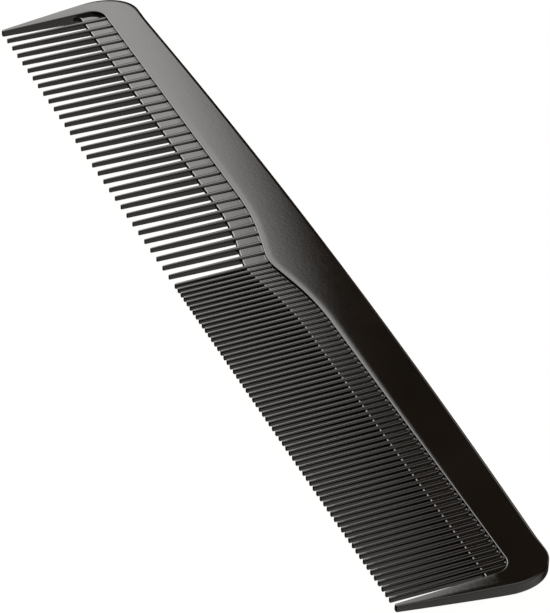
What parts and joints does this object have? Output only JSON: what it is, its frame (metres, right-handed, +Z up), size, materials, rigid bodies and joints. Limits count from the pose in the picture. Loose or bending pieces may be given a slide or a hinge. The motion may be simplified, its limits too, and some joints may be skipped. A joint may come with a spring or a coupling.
{
  "type": "hair comb",
  "caption": "Flat styling comb with an arched spine, a thick guard tooth at each end, widely spaced tapered teeth along the first half and closely spaced ones along the rest.",
  "frame": {"origin": "centre of the bounding box at the bottom face: the comb lies flat, midway along its length, midway between tips and spine, on its flat back", "axes": "+X along the comb towards the closely spaced teeth, +Y from the tooth tips to the spine, +Z up, out of the front face"},
  "size_m": [0.178, 0.028, 0.0022],
  "materials": {
    "comb_plastic": "polished black-brown moulded plastic"
  },
  "bodies": {
    "root": {"spine": "comb_plastic", "coarse_guard": "comb_plastic", "fine_guard": "comb_plastic", "coarse_tooth_01": "comb_plastic", "coarse_tooth_02": "comb_plastic", "coarse_tooth_03": "comb_plastic", "coarse_tooth_04": "comb_plastic", "coarse_tooth_05": "comb_plastic", "coarse_tooth_06": "comb_plastic", "coarse_tooth_07": "comb_plastic", "coarse_tooth_08": "comb_plastic", "coarse_tooth_09": "comb_plastic", "coarse_tooth_10": "comb_plastic", "coarse_tooth_11": "comb_plastic", "coarse_tooth_12": "comb_plastic", "coarse_tooth_13": "comb_plastic", "coarse_tooth_14": "comb_plastic", "coarse_tooth_15": "comb_plastic", "coarse_tooth_16": "comb_plastic", "coarse_tooth_17": "comb_plastic", "coarse_tooth_18": "comb_plastic", "coarse_tooth_19": "comb_plastic", "coarse_tooth_20": "comb_plastic", "coarse_tooth_21": "comb_plastic", "coarse_tooth_22": "comb_plastic", "coarse_tooth_23": "comb_plastic", "coarse_tooth_24": "comb_plastic", "coarse_tooth_25": "comb_plastic", "coarse_tooth_26": "comb_plastic", "coarse_tooth_27": "comb_plastic", "coarse_tooth_28": "comb_plastic", "coarse_tooth_29": "comb_plastic", "coarse_tooth_30": "comb_plastic", "fine_teeth_01": "comb_plastic", "fine_teeth_02": "comb_plastic", "fine_teeth_03": "comb_plastic", "fine_teeth_04": "comb_plastic", "fine_teeth_05": "comb_plastic", "fine_teeth_06": "comb_plastic", "fine_teeth_07": "comb_plastic", "fine_teeth_08": "comb_plastic", "fine_teeth_09": "comb_plastic", "fine_teeth_10": "comb_plastic", "fine_teeth_11": "comb_plastic", "fine_teeth_12": "comb_plastic", "fine_teeth_13": "comb_plastic", "coarse_web": "comb_plastic", "fine_web": "comb_plastic"}
  },
  "joints": []
}
